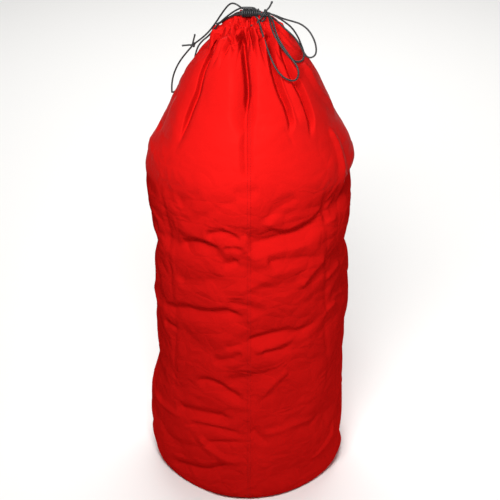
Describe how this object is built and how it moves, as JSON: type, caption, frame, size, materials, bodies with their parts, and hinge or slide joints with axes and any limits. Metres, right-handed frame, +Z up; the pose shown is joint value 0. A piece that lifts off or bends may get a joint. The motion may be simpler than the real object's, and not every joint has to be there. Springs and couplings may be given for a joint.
{
  "type": "drawstring storage sack",
  "caption": "Tall round cloth sack, stuffed full and standing, its gathered mouth drawn shut by a thin cord that is wrapped and tied in a bow on top; the cord's loops swing.",
  "frame": {"origin": "centre of the base's underside, on the surface the sack stands on", "axes": "+Z up along the sack's axis, -Y towards the front with the sewn seam, +X to the right seen from the front"},
  "size_m": [0.3762, 0.3771, 0.9439],
  "materials": {
    "coated_nylon": "soft sheen, plain weave",
    "binding_tape": "matt woven tape",
    "buttonhole_thread": "satin thread",
    "cord": "matt braid"
  },
  "bodies": {
    "sack": {"side_panel": "coated_nylon", "front_seam": "coated_nylon", "base_panel": "coated_nylon", "base_binding": "binding_tape", "mouth_casing": "coated_nylon", "buttonhole_left": "buttonhole_thread", "buttonhole_right": "buttonhole_thread", "casing_cord": "cord", "exit_strand_left": "cord", "exit_strand_right": "cord", "bow_core": "cord", "bow_wraps": "cord", "bow_crown_strands": "cord", "lock_knot": "cord", "bow_ear": "cord", "bow_tail": "cord", "tail_stopper": "cord"},
    "left_loop": {"left_loop_front": "cord", "left_loop_back": "cord", "join_knot": "cord", "join_tail_left": "cord", "join_tail_up": "cord", "join_stoppers": "cord"},
    "bow_loops": {"bow_loop_outer": "cord", "bow_loop_middle": "cord", "bow_loop_front": "cord"}
  },
  "joints": [
    {"name": "left_loop_swing", "type": "hinge", "parent": "sack", "child": "left_loop", "pos_m": [-0.012, -0.006, 0.9325], "axis": [0, 1, 0], "range_deg": [0, 45]},
    {"name": "bow_loops_lift", "type": "hinge", "parent": "sack", "child": "bow_loops", "pos_m": [0.033, -0.005, 0.9236], "axis": [-1, 0, 0], "range_deg": [0, 50]}
  ]
}
